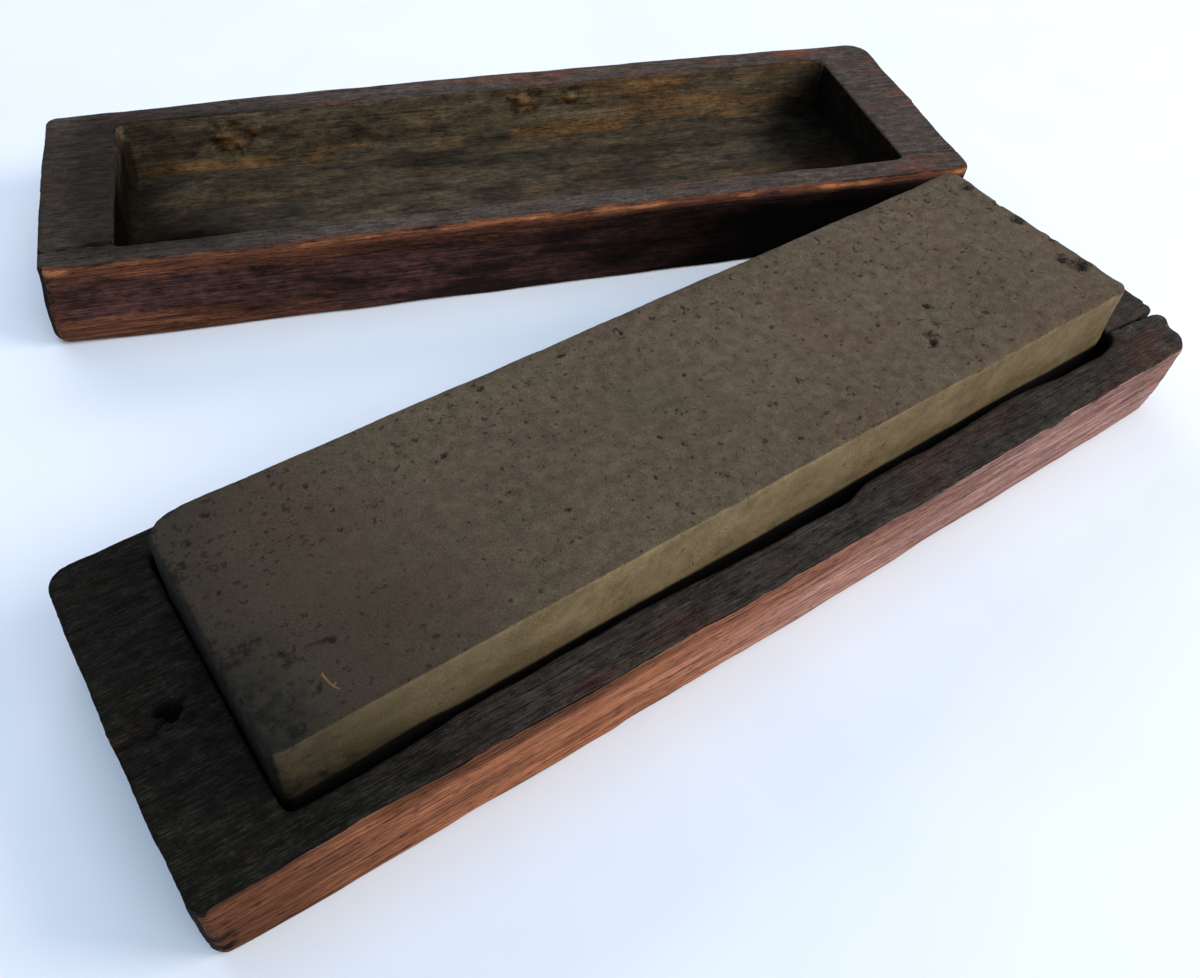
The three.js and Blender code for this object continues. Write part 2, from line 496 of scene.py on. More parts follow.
def wood(name, worn, worn_far, aged, film, film_far, inside, inside_far, bright=(0.50, 0.20, 0.080)):
    """Dark oiled hardwood. Each list is three colours, dark to light; vertex layers choose between them."""
    s = Shade(name)
    layers = ("wear", "dirt", "film", "inside", "endgrain", "tone")
    wear, dirt, filmed, within, end, tone = (s.attr(k) for k in layers)
    broad = s.noise((0.016, 0.28, 0.28), 3, 0.5)
    streak = s.noise((0.040, 1.6, 1.6), 6, 0.64, (3, 8, 1), 0.3)
    fine = s.noise((0.13, 4.8, 4.8), 4, 0.6, (11, 2, 5))
    hair = s.noise((0.5, 9.0, 9.0), 2, 0.5, (1, 22, 9))
    pore = s.noise((0.40, 5.0, 5.0), 2, 0.45, (40, 6, 3))
    mottled = s.noise((0.30, 0.50, 0.50), 5, 0.62, (7, 7, 2))
    patch = s.noise((0.045, 0.16, 0.16), 3, 0.55, (1, 4, 19))
    dusty = s.noise((1.3, 3.4, 3.4), 3, 0.65, (3, 4, 5))
    grain = s.total((streak, 0.60), (fine, 0.40))
    pores = s.span(pore, 0.585, 0.665)
    vein = s.span(s.noise((0.028, 2.3, 2.3), 4, 0.55, (9, 31, 4), 0.2), 0.55, 0.66)

    def three(colors, v, lo, hi):
        return s.shades(s.span(v, lo, hi, smooth=False), *colors)

    worn_c = s.mix(tone, three(worn, grain, 0.40, 0.61), three(worn_far, grain, 0.40, 0.61))
    worn_c = s.mix(s.mul(s.span(broad, 0.42, 0.62), 0.40), worn_c, worn[0])
    worn_c = s.mix(s.mul(vein, 0.55), worn_c, tuple(v * 0.45 for v in worn[0]))
    aged_c = three(aged, s.total((grain, 0.65), (mottled, 0.35)), 0.40, 0.60)
    aged_c = s.mix(s.mul(s.span(patch, 0.46, 0.60), 0.75), aged_c, tuple(v * 0.55 for v in aged[0]))
    aged_c = s.mix(s.mul(vein, 0.6), aged_c, tuple(v * 0.4 for v in aged[0]))
    fv = s.total((fine, 0.42), (mottled, 0.30), (dusty, 0.28))
    film_c = s.mix(tone, three(film, fv, 0.40, 0.60), three(film_far, fv, 0.40, 0.60))
    patchy = s.mul(s.span(patch, 0.50, 0.64), s.span(tone, 0.0, 1.0, 0.35, 0.6))
    film_c = s.mix(patchy, film_c, s.mix(1.0, film_c, (1.55, 0.82, 0.70), "MULTIPLY"))
    film_c = s.mix(s.mul(vein, 0.5), film_c, tuple(v * 0.5 for v in film[0]))
    blotch = s.noise((0.075, 0.22, 0.22), 4, 0.55, (21, 14, 5))
    iv = s.total((s.add(streak, blotch), 0.27), (mottled, 0.26), (dusty, 0.20))
    in_c = s.mix(tone, three(inside, iv, 0.39, 0.61), three(inside_far, iv, 0.39, 0.61))
    in_c = s.mix(1.0, in_c, s.add(1.0, s.mul(wear, 1.6)), "MULTIPLY")
    ends = s.mul(s.add(s.noise((1.0, 0.16, 0.8), 5, 0.6, (2, 3, 4)),
                       s.noise((3.0, 3.6, 3.6), 3, 0.7, (5, 3, 4))), 0.5)
    end_shades = [tuple(v * 0.6 for v in aged[0]), aged[0], tuple(v * 0.7 for v in aged[1])]
    end_c = three(end_shades, ends, 0.38, 0.66)
    # ragged borders where the film has worn through
    ragged = s.sub(s.noise((0.45, 2.4, 2.4), 5, 0.7, (5, 1, 8)), 0.5)
    worn_at = s.mul(s.span(s.add(wear, ragged), 0.36, 0.66), s.sub(1.0, within))
    film_at = s.span(s.add(filmed, s.mul(ragged, 0.8)), 0.38, 0.62)
    c = s.mix(end, aged_c, end_c)
    c = s.mix(film_at, c, film_c)
    c = s.mix(within, c, in_c)
    c = s.mix(worn_at, c, worn_c)
    c = s.mix(s.mul(s.span(s.add(wear, ragged), 0.95, 1.65), s.span(grain, 0.36, 0.54, 0.35, 1.0)), c, bright)
    c = s.mix(s.mul(pores, 0.80), c, s.mix(0.85, c, (0.005, 0.0035, 0.0035)))
    # the dirt layer paints near black: old oil and dirt, and also the painted shade and shadows laid into the
    # lid and the base's recess
    torn = s.mul(s.mul(ragged, 0.9), s.span(dirt, 0.0, 0.25))
    c = s.mix(s.add(dirt, s.mul(torn, s.sub(1.0, dirt)), clamp=True), c, (0.0024, 0.0021, 0.0019))
    # rare pale specks of dust
    speck = s.span(s.cells((1.1, 1.1, 1.1), (4, 1, 7)), 0.055, 0.035)
    sparse = s.span(s.noise((0.9, 0.9, 0.9), 0, 0.5, (9, 3, 3)), 0.66, 0.70)
    c = s.mix(s.mul(s.mul(speck, sparse), s.sub(1.0, dirt)), c, (0.16, 0.17, 0.15))
    rough = s.span(grain, 0.3, 0.7, 0.68, 0.86)
    height = s.sub(s.total((fine, 0.5), (hair, 0.25), (dusty, 0.35)), s.mul(pores, 0.6))
    n = s.bump(height, 0.00035, 0.7)
    return s.finish(c, rough, n, s.span(dirt, 0.4, 1.0, 0.055, 0.0))


def stone_material():
    s = Shade("fine_oilstone")
    top, dirt, soak_and_shade, black, crowd = (s.attr(k) for k in ("used", "dirt", "soak_and_shade", "black", "crowd"))
    cloud = s.noise((0.030, 0.050, 0.07), 4, 0.55, (3, 1, 2))
    hue = s.noise((0.042, 0.06, 0.06), 3, 0.6, (13, 5, 2))
    mottle = s.noise((0.40, 0.40, 0.40), 5, 0.65, (8, 2, 1))
    grit = s.noise((3.1, 3.1, 3.1), 3, 0.7, (1, 5, 9))
    crumb = s.noise((4.5, 4.5, 4.5), 1, 0.5, (6, 2, 9))
    tv = s.total((cloud, 0.13), (mottle, 0.47), (grit, 0.40))
    tv = s.span(tv, 0.36, 0.64, smooth=False)
    mauve = s.shades(tv, (0.052, 0.0375, 0.0255), (0.099, 0.0700, 0.0460), (0.150, 0.111, 0.075))
    olive = s.shades(tv, (0.050, 0.0390, 0.0245), (0.094, 0.0735, 0.0460), (0.146, 0.116, 0.074))
    used = s.mix(s.span(hue, 0.42, 0.58), mauve, olive)
    drift = s.noise((0.10, 0.16, 0.16), 4, 0.55, (5, 5, 5))
    sv = s.total((drift, 0.34), (mottle, 0.30), (grit, 0.36))
    side = s.shades(s.span(sv, 0.41, 0.59, smooth=False),
                    (0.185, 0.135, 0.064), (0.255, 0.189, 0.096), (0.330, 0.252, 0.138))
    # painted shading: the tan side is darkened towards the right and lightened a little lower down
    painted_falloff = s.mul(s.span(s.axis("X"), -20, 70, 0.81, 0.70), s.span(s.axis("Z"), 31, 27, 1.0, 1.05))
    side = s.mix(1.0, side, painted_falloff, "MULTIPLY")
    ragged = s.sub(s.noise((1.3, 1.3, 1.3), 5, 0.8, (5, 1, 8)), 0.5)
    c = s.mix(s.span(s.add(top, s.mul(ragged, 0.8)), 0.10, 0.90), side, used)
    grain = s.span(s.total((grit, 0.5), (crumb, 0.5)), 0.36, 0.64, 0.84, 1.08, smooth=False)
    c = s.mix(1.0, c, grain, "MULTIPLY")
    # fine pitting: irregular specks, thicker in drifts and thin on the sides
    lot = s.add(s.span(crowd, 0.0, 1.0, -0.045, 0.045, smooth=False), s.span(top, 0.1, 0.9, -0.060, 0.0))
    speck = s.add(s.noise((0.62, 0.70, 0.70), 1.6, 0.6, (31, 5, 9), 0.2), lot)
    dots = s.add(s.noise((1.5, 1.7, 1.7), 1.2, 0.6, (3, 15, 29), 0.1), lot)
    c = s.mix(s.mul(s.span(speck, 0.650, 0.735), 0.72), c, (0.018, 0.011, 0.010))
    c = s.mix(s.mul(s.span(dots, 0.650, 0.730), 0.56), c, (0.020, 0.013, 0.011))
    light = s.span(s.cells((0.8, 0.8, 0.8), (4, 13, 12)), 0.095, 0.055)
    light = s.mul(light, s.span(s.noise((0.6, 0.6, 0.6), 1, 0.5, (7, 2, 5)), 0.50, 0.58))
    c = s.mix(s.mul(light, 0.7), c, (0.26, 0.24, 0.17))
    # old oil and painted shade: the stone darkens to the left, on its left end and along its far side
    dark = s.mul(soak_and_shade, s.span(mottle, 0.30, 0.70, 0.85, 1.10))
    side_soak_and_shade = s.mix(s.span(soak_and_shade, 0.56, 0.84), (0.0170, 0.0122, 0.0084), (0.0132, 0.0124, 0.0095))
    c = s.mix(dark, c, s.mix(top, (0.010, 0.0078, 0.0046), side_soak_and_shade))
    crisp = s.span(s.total((dirt, 0.76), (s.sub(s.add(grit, ragged), 0.5), 1.35)), 0.40, 0.60)
    c = s.mix(s.mul(crisp, 0.86), c, (0.0095, 0.0066, 0.0058))
    # a hair-thin splinter of wood stuck to the oiled face
    face = STONE_H + STONE_AT[2]
    long_path = [(-88.75, -17.5), (-88.67, -18.6), (-88.45, -19.7), (-88.1, -20.6), (-87.65, -21.2)]
    short_path = [(-88.35, -20.3), (-87.6, -19.9)]
    sliver = s.math("MAXIMUM", s.strand(long_path, face, 0.17, 0.10), s.strand(short_path, face, 0.11, 0.08))
    c = s.mix(s.mul(sliver, 0.85), c, (0.20, 0.088, 0.040))
    # black: old oil and painted shade, low on the sides and on the left end
    c = s.mix(black, c, (0.0022, 0.0019, 0.0016))
    h = s.sub(s.total((grit, 0.55), (mottle, 0.25)), s.total((s.span(speck, 0.64, 0.72), 0.8), (crisp, 0.5)))
    n = s.bump(h, 0.00030, 0.75)
    return s.finish(c, s.span(mottle, 0.3, 0.7, 0.80, 0.95), n, 0.12)


# ---- box base
BASE_H = 20.6
STONE_H = 25.4
HX, HY = 120.3, 35.5  # half the base's length and width
# the recess's left, right, near and far walls, and floor
RX0, RX1, RY0, RY1, RZ = -104.0, 104.0, -27.5, 29.5, 9.0
box = hollowed(lines([-HX, RX0, RX1, HX], [0.5, 0.85, 0.5]),
               lines([-HY, RY0, -25.6, -23.3, RY1, HY], [0.36, 0.45, 0.2, 0.52, 0.42]),
               lines([0, BASE_H], [0.42]), lines([RZ, BASE_H], [0.7]), RX0, RX1, RY0, RY1)
x, y, z = box.P.T
top_r = 0.75 + 0.35 * noise(x / 9, y / 9, 0, 3) + 0.9 * step(100, 119, x) * (y < -20)
low_r = (0.8 + 0.3 * noise(x / 12, y / 12, 5, 4) + 0.9 * step(0, 60, x) * (y < -25)
         + 1.6 * step(108, 119, x) * (y < -20) + 0.5 * step(-112, -119, x) * (y < -25))
mouth = 0.45 + 0.25 * noise(x / 7, y / 7, 0, 5)
shape(box, BASE_H, HX, HY, (2.6, 6.2, 6.0, 4.8), top_r, low_r,
      pocket_shape(RX0, RX1, RY0, RY1, 2.0, mouth, RZ, 0.9))
# the near edge of the recess wanders by this much
near_lip = curve([
    (-104, -1.3), (-88, -1.0), (-79, -0.8), (-72, -0.1), (-48, 0.2), (-40, 0.4), (-24, 0.0), (-12, -0.5),
    (-5, -0.8), (4, -0.5), (13, -0.5), (17.5, -0.9), (20, 0.3), (24, 1.2), (44, 1.2), (56, 1.4),
    (61, 1.9), (70, 2.2), (77, 1.5), (82, 0.8), (96, 0.7), (100, 1.3), (104, 2.6),
])
q = box.Q
w = step(-34.5, RY0, y) * step(-19, RY0, y)
q[:, 1] += w * (near_lip(x) + 0.16 + 0.12 * noise(x / 5, 0, 0, 8)) * step(3, 16, z)
# the recess's left end stands a little nearer the stone than in the CAD
nearer = 1.60 - 0.012 * y + 0.08 * noise(y / 6, z / 6, 0, 18)
q[:, 0] += step(-111, RX0, x) * step(-97, RX0, x) * nearer * step(6, 12, z) * (np.abs(y - 1) < 30)
# the near face is slightly bowed, and both long faces wander
q[:, 1] -= (step(-30, -HY, y)
            * (0.75 * (1 - (x / HX) ** 2) - 0.35 - 0.4 * step(9, 2, z) * step(-40, 40, x)
               + 0.22 * fbm(x / 14, 0, z / 9, 3, seed=6)))
q[:, 1] += step(32, HY, y) * (0.25 * fbm(x / 16, 0, z / 9, 3, seed=7))
# the outline of both ends, and their torn grain
q[:, 1] += step(24, HY, y) * (0.5 * np.exp(-((x + 96) / 8) ** 2) + 0.2 * step(-100, -118, x))
q[:, 0] -= (step(-100, -HX, x)
            * (0.15 * np.exp(-((y - 2) / 12) ** 2) - 0.4 * step(-16, -33, y) - 0.3 * step(24, 34, y)))
q[:, 0] += (step(100, HX, x)
            * (1.3 * step(-26, -22, y) - 0.8 * step(15, 3, z) * step(-14, -30, y)
               - 0.9 * step(-30, -34, y)))
frayed = 0.06 * noise(y / 0.7, z / 0.6, 0, 9) + 0.35 * fbm(y / 9, z / 8, 0, 4, 0.45, 10)
q[:, 0] += step(-117, -HX, x) * frayed
q[:, 0] += step(114, HX, x) * (frayed + 0.12 * noise(y / 1.1, z / 1.5, 3, 11))
# weathered long grain on every face
ends = (np.abs(x) > HX - 1e-6)
relief = 0.16 * fbm(x / 22, y / 1.0, z / 1.0, 4, 0.6, 12) + 0.07 * fbm(x / 7, y / 0.5, z / 0.5, 2, 0.5, 13)
gouge = fbm(x / 30, y / 2.2, z / 2.2, 3, 0.5, 14)
relief -= 0.22 * step(0.18, 0.5, gouge)
round_off = 1 - 0.85 * step(HX - 7, HX - 2, np.abs(x)) * step(HY - 6, HY - 1, np.abs(y)) * box.on(WALL)
relief *= np.where(box.on(UNDER), 0.5, 1.0) * np.where(ends, 0.3, 1) * round_off
left = step(-96, -112, x) * box.on(TOP)
rough_left = (0.30 * fbm(x / 5, y / 0.9, 0, 4, 0.6, 15)
              - 0.35 * step(0.1, 0.5, fbm(x / 7, y / 2.6, 0, 3, seed=16)))
relief = (relief + left * rough_left * 1.3) * (1 - 0.7 * step(-115.5, -119, x))
dirt = np.zeros(len(x))
top_m = box.on(TOP) * 1.0
relief, dirt = cracks(x, y, top_m, (
    ([(120.9, -25.3), (112, -24.9), (103.4, -24.0)], 0.62, 3.6, 0.0),
    ([(-112.0, -3.6), (-114.2, -5.0), (-117.0, -4.4), (-120.5, -4.6)], 0.50, 1.2, 0.3),
    ([(-109.4, -3.2), (-106.0, -3.6), (-103.6, -4.4)], 0.36, 0.5, 1.0),
    ([(-120.6, -15.5), (-114, -15.9), (-107, -16.2)], 0.34, 0.6, 1.0),
    ([(-120.6, -10.1), (-116.5, -10.2), (-112, -10.6)], 0.36, 0.6, 1.0),
    ([(-120.6, 20.8), (-116, 20.9), (-110, 21.2)], 0.32, 0.5, 1.0),
), relief, dirt)
# the knot hole
knot = (np.hypot((x + 110.9) / 1.1, (y + 2.4) / 0.95) + 0.75 * noise(x / 1.3, y / 0.9, 0, 21)
        + 0.4 * noise(x / 0.6, y / 0.5, 0, 23))
relief += top_m * 0.5 * fbm(x / 1.6, y / 0.8, 0, 3, 0.6, 24) * step(9, 3, knot)
relief -= top_m * 2.2 * np.clip(1 - (knot / 1.7) ** 2, 0, 1) ** 0.7
relief += top_m * 0.35 * np.exp(-((knot - 3.0) / 0.9) ** 2)
dirt = np.maximum(dirt, top_m * step(2.2, 1.1, knot))
# the end crack runs down the right end face
split = (np.clip(1 - (np.abs(y + 25.3 + 0.5 * noise(z / 6, 0, 0, 22)) / 0.5) ** 2, 0, 1) * (x > HX - 1e-6)
         * step(4, 14, z))
dirt = np.maximum(dirt, split)
box.push(relief)
q = box.Q
q[:, 0] -= split * 2.6
# broken edge of the right end beside the crack
bite = step(114.5, HX, x)
lost = (2.0 * np.exp(-((y + 25.4) / 0.8) ** 2) + 1.1 * np.exp(-((y + 30.6) / 1.3) ** 2)
        - 1.2 * np.exp(-((y + 28) / 1.6) ** 2))
q[:, 0] -= bite * lost * step(2, 12, z)
q[:, 2] -= step(104, 119, x) * (y < -25.3) * box.on(TOP) * 0.35
q[:, 2] = np.maximum(q[:, 2], 0.0)
# how worn, filmed, dirty, painted with shade and far to the right each point is, for the material
down = np.where(box.on(WALL), BASE_H - z, 0.0)
rim = np.where(box.on(TOP), y + HY, 0.0)
line = rim - down
edge_line = -0.65 + 0.75 * fbm(x / 7, 0, 0, 5, 0.65, 30) + 0.35 * step(20, 60, x) - 0.3 * step(-90, -112, x)
near_face = ((y < -HY + 3.0) & (box.on(WALL) | box.on(TOP)) & (np.abs(x) < HX - 1e-6)) * 1.0
wear = near_face * step(edge_line + 0.7, edge_line - 0.5, line)
far_face = ((y > HY - 1e-6) & box.on(WALL)) * 1.0
wear = most(
    wear,
    far_face * (0.35 + 0.35 * fbm(x / 40, z / 6, 0, 3, seed=31)) * step(0.4, 1.6, down),
    box.on(UNDER) * (0.30 + 0.4 * fbm(x / 45, y / 12, 0, 3, seed=32)),
    ends * (x > 0) * (0.25 + 0.3 * fbm(y / 9, z / 6, 0, 3, seed=33)) * step(0.6, 2, down),
)
broken = step(0.0, 0.4, fbm(x / 6, y / 3, 0, 3, seed=34) + 0.25)
wear = np.maximum(wear, 0.45 * step(106, 112, x) * step(-24.8, -25.6, y) * box.on(TOP) * broken)
wear *= 1 - 0.75 * step(-112, -118.5, x) * near_face * step(0.2, -0.4, fbm(x / 5, z / 5, 0, 3, seed=35))
film = most(box.on(TOP) * 1.0, box.on(WALL) * step(3.0, 0.4, down), box.on(WALL) * (x < -HX + 1e-6) * 0.8)
inside = (box.on(FLOOR) | box.on(INNER)) * 1.0
# darker inside the recess, most towards its floor, and along its mouth: partly old oil, partly painted shade
# of the narrow gap round the stone; the near face is also darker along its bottom edge
crev = np.where(inside > 0, 0.55 + 0.3 * step(RZ + 5, RZ, z), 0)
dirt = np.maximum(dirt, crev * 0.8)
off_mouth = np.maximum(np.maximum(RX0 - x, x - RX1), np.maximum(RY0 - y, y - RY1))
dirt = most(
    dirt,
    0.55 * box.on(TOP) * step(1.2, 0.0, np.abs(off_mouth)),
    near_face * step(1.5, 0.0, z) * 0.5,
)
tone = step(-60, 60, x + 30 * fbm(x / 30, z / 8, 0, 3, seed=36))
near_strip = step(-98, -54, x + 12 * fbm(x / 18, y / 7, 0, 3, seed=37)) * step(-12, -24, y)
tone = np.where(box.on(TOP), near_strip + 0.75 * step(104, 112, x), tone)
near_wall = near_face * box.on(WALL)
dirt = most(
    dirt,
    near_wall * step(-66, -112, x + 9 * fbm(x / 9, z / 3, 0, 3, seed=38)) * 0.68,
    near_wall * (0.30 + 0.42 * step(0, -55, x))
        * step(8.5, 1.5, down + 2 * fbm(x / 14, z / 3, 0, 3, seed=29)) * step(-112, -84, x),
    near_wall * 0.42 * step(0.12, 0.5, fbm(x / 26, z / 2.6, 0, 4, seed=39)),
)
base = box.build("box_base_wood",
                 dict(wear=wear, dirt=dirt, film=film, inside=inside, endgrain=ends, tone=tone))
base.data.materials.append(wood(
    "worn_oiled_hardwood_base",
    worn=[(0.185, 0.066, 0.034), (0.485, 0.182, 0.090), (0.71, 0.300, 0.137)],
    worn_far=[(0.215, 0.105, 0.092), (0.43, 0.248, 0.215), (0.64, 0.400, 0.352)],
    aged=[(0.022, 0.012, 0.011), (0.045, 0.022, 0.018), (0.075, 0.036, 0.028)],
    film=[(0.0034, 0.0035, 0.0025), (0.0088, 0.0088, 0.0060), (0.028, 0.0255, 0.0180)],
    film_far=[(0.0130, 0.0110, 0.0090), (0.0375, 0.0315, 0.0260), (0.072, 0.060, 0.050)],
    inside=[(0.006, 0.005, 0.0045), (0.013, 0.010, 0.008), (0.024, 0.018, 0.013)],
    inside_far=[(0.006, 0.005, 0.0045), (0.013, 0.010, 0.008), (0.024, 0.018, 0.013)],
))
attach(base, "base")
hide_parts("box_base")


# ---- whetstone
STONE_LENGTH, STONE_WIDTH = 203.2, 50.8
hx, hy = STONE_LENGTH / 2, STONE_WIDTH / 2
body = Block(lines([-hx, hx], [0.45]), lines([-hy, hy], [0.45]), lines([0, STONE_H], [0.55]))
x, y, z = body.P.T
arris = 1.15 + 0.25 * noise(x / 8, y / 8, 0, 40) + 0.10 * noise(x / 2.4, y / 2.4, 0, 41)
arris += 0.5 * step(-92, -101, x)
shape(body, STONE_H, hx, hy, (2.4, 2.4, 2.8, 5.2), arris, arris)
top = body.on(TOP)
rnd = np.random.default_rng(11)
pits = np.zeros(len(x))
dark = np.zeros(len(x))


def pit(px, py, r, depth, long, turn, strong=0.9):
    """Adds one ragged pit to pits and dark."""
    m = (np.abs(x - px) < r * 3) & (np.abs(y - py) < r * 3) & top
    if not m.any():
        return
    u, v = x[m] - px, y[m] - py
    u, v = u * math.cos(turn) + v * math.sin(turn), v * math.cos(turn) - u * math.sin(turn)
    d = np.hypot(u / long, v * long) / r + 0.55 * noise(x[m] / 0.9, y[m] / 0.9, r, 42)
    pits[m] = np.maximum(pits[m], depth * np.clip(1 - d ** 2, 0, 1))
    dark[m] = np.maximum(dark[m], strong * step(1.6, 0.2, d))


# how densely the fine pitting lies
crowd = (0.42 + 0.55 * fbm(x / 20, y / 13, 0, 3, seed=43) + 0.38 * step(-76, -94, x) + 0.28 * step(8, 20, y)
         + 0.12 * step(20, 70, x))
for k in range(760):
    px, py = rnd.uniform(-hx + 1, hx - 1), rnd.uniform(-hy + 1, hy - 1)
    if rnd.uniform() > 0.40 + 0.35 * (py > 12) + 0.2 * (abs(px) > 80):
        continue
    r, long, angle = 0.30 + 0.42 * rnd.power(0.35), rnd.uniform(1, 1.7), rnd.uniform(0, 3.1)
    pit(px, py, r, 0.15, long, angle, rnd.uniform(0.2, 0.85))
# the larger marks of the worn face: x, y, radius and depth
MARKS = (
    (98.1, -15.0, 1.9, 1.0), (96.0, -11.2, 1.2, 0.6), (99.0, 3.9, 1.5, 0.8), (98.8, 18.5, 1.3, 0.7),
    (100.1, -5.0, 1.0, 0.5), (51.0, -14.6, 1.2, 0.9), (52.2, -12.4, 1.1, 0.5), (58.5, -6.1, 1.1, 0.7),
    (19.1, -8.0, 0.9, 0.5), (39.6, -7.8, 0.8, 0.4), (35.0, -4.4, 0.7, 0.3), (45.0, -4.8, 0.7, 0.3),
    (33.4, -1.5, 0.6, 0.3), (54.0, 8.8, 0.7, 0.3), (61.0, 8.0, 0.7, 0.3), (1.0, 5.0, 0.7, 0.3),
    (1.6, 0.0, 0.6, 0.3), (-49.6, 11.8, 1.0, 0.5), (-26.6, 19.6, 0.9, 0.4), (-16.2, 21.5, 1.0, 0.5),
    (-34.6, 21.9, 0.9, 0.4), (14.0, 20.2, 0.9, 0.4), (6.0, 21.0, 0.8, 0.4), (-2.0, 20.6, 0.8, 0.3),
    (38.3, 21.4, 0.9, 0.4), (86.5, 20.0, 0.8, 0.3), (-91.4, 20.8, 1.0, 0.4), (-96.0, 17.0, 0.9, 0.4),
    (-98.6, 13.7, 1.1, 0.5), (-74.1, 17.8, 0.8, 0.3), (-13.6, -5.4, 0.8, 0.3), (-38.0, -10.6, 0.8, 0.3),
    (-20.4, -13.0, 0.7, 0.3), (8.6, -20.0, 0.7, 0.3), (22.0, -22.0, 0.7, 0.3), (-92.2, -10.8, 1.0, 0.5),
    (-85.0, -12.2, 1.0, 0.4), (-90.3, -19.2, 0.8, 0.3), (-95.8, 5.4, 0.7, 0.3),
)
for px, py, r, depth in MARKS:
    pit(px, py, r * 0.9, depth, 1.25, px)
# crusts of old oil and dust, most of them near the two ends: x, y and radius
CRUSTS = (
    (-99.5, -7.6, 2.6), (-96.5, -6.6, 2.2), (-93.8, -6.0, 1.5), (-100.3, 11.7, 2.4), (-99.0, -18.3, 2.0),
    (-97.2, -20.6, 2.2), (-100.6, -15.0, 1.6), (-95.6, -23.2, 1.8), (-96.5, 24.2, 1.5),
    (-100.6, -2.8, 1.4), (-92.0, -12.0, 1.5), (98.4, -14.0, 3.0), (96.6, -10.6, 2.0), (99.6, 4.2, 2.2),
    (99.3, 18.0, 2.6), (100.4, -5.0, 1.8), (100.4, 11.5, 1.8), (52.0, -13.2, 1.9),
)
for px, py, r in CRUSTS:
    off = (np.hypot((x - px) * 0.8, y - py) / r + 0.5 * noise(x / 2.2, y / 2.2, px, 55)
           + 0.35 * noise(x / 0.9, y / 0.9, px, 56))
    dark = np.maximum(dark, top * 0.66 * step(1.25, 0.25, off))
# a shallow hollow worn along the middle by use
worn = 0.35 * np.exp(-(y / 17) ** 2) * step(hx, hx - 30, np.abs(x))
amount = 0.05 * fbm(x / 2.2, y / 2.2, z / 2.2, 3, 0.6, 44) + 0.05 * fbm(x / 26, y / 14, z / 14, 3, seed=45)
amount -= top * (pits + worn * 0.6)
# nibbled edges, most of all at the right end
d_edge = np.minimum(np.abs(hx - np.abs(x)), np.abs(hy - np.abs(y)))
high = step(4.5, 0.5, STONE_H - z)
nib = fbm(x / 3.6, y / 3.6, z / 5, 3, 0.6, 46)
chip = step(0.22, 0.55, nib) * step(1.8, 0.0, np.maximum(d_edge * top, 0)) * high
chip *= 0.22 + 0.55 * step(92, 101, x) - 0.1 * (y > hy - 2) + 0.2 * step(-96, -101, x)
amount -= 0.60 * np.clip(chip, 0, 1.2)
body.push(amount)
body.Q[:, 1] += step(22, hy, y) * 0.16 * fbm(x / 16, 0, 0, 3, seed=47) * step(14, 22, z)
body.Q[:, 0] += step(97, hx, x) * 0.45 * fbm(y / 5, 0, z / 9, 3, seed=48)
body.Q[:, 1] += step(12, hy, y) * (0.25 + 0.75 * step(-104, -92, x) + 0.3 * step(84, 100, x))
body.Q[:, 0] += (step(60, hx, x)
                 * (0.85 + 0.85 * y / hy + 0.5 * step(8, 22, y)
                    + 1.3 * step(STONE_H - 3, 9, z) * step(5, -20, y)))
dark = np.maximum(dark, np.clip(chip, 0, 1) * 0.75)
used = top * 1.0
near_side = body.on(WALL) & (y < -hy + 0.1)
below = STONE_H - z + 0.5 - 0.5 * step(20, 70, x) + 0.8 * fbm(x / 9, 0, 0, 4, 0.6, 49)
used = most(
    used,
    near_side * step(1.1, 0.0, below),
    body.on(WALL) * step(1.4, 0.2, STONE_H - z) * ((x < -hx + 0.1) | (y > hy - 0.1)),
)
# darker to the left on the top and near side: partly old oil, partly painted fall-off of the light; the left
# end face and its edge are painted shade; a strip along the top's far edge, the far side and the underside
# are darker too
oil_and_shade = (0.55 * step(-34, -97, x + 7 * fbm(x / 16, y / 9, z / 9, 3, seed=53)) + 0.08
        - 0.04 * step(-15, 20, x) + 0.09 * step(-40, -70, x) * step(2, -16, y))
oil_and_shade += 0.26 * step(-87, -100, x + 3 * fbm(x / 9, y / 7, z / 7, 3, seed=50)) * (0.5 + 0.5 * step(4, -20, y))
oil_and_shade = most(
    oil_and_shade,
    0.62 * step(-86, -101, x) * step(12, 24, y),
    0.5 * step(20.5, 25, y) * top * (0.5 + fbm(x / 10, y / 5, 0, 3, seed=51)),
)
side_oil_and_shade = 0.52 * step(-66, -100, x) + 0.26 * step(-40, -64, x) + 0.20 * step(20, 11, z) * step(-42, -62, x)
oil_and_shade = np.where(near_side, side_oil_and_shade, oil_and_shade)
oil_and_shade = most(
    oil_and_shade,
    0.96 * step(-hx + 1.5, -hx + 0.3, x),
    body.on(WALL) * (x < -hx + 0.1) * 0.90,
    (body.part != TOP) * (y > hy - 0.1) * 0.35,
    body.on(UNDER) * 0.55,
)
# the part that sits down in the box is painted black up to this height: partly old oil, partly painted shade
# in the narrow gap round it
low = curve([
    (-101, 10.2), (-86, 10.5), (-80, 11.2), (-75, 11.1), (-69, 10.2), (-40, 10.0), (-22, 9.7), (-8, 9.2),
    (14, 9.3), (22, 9.6), (74, 9.7), (80, 9.3), (101, 9.3),
])
oil_and_gap_shade = step(low(x) + 0.45, low(x) - 0.45, z + 0.2 * fbm(x / 6, y / 6, 0, 3, seed=52))
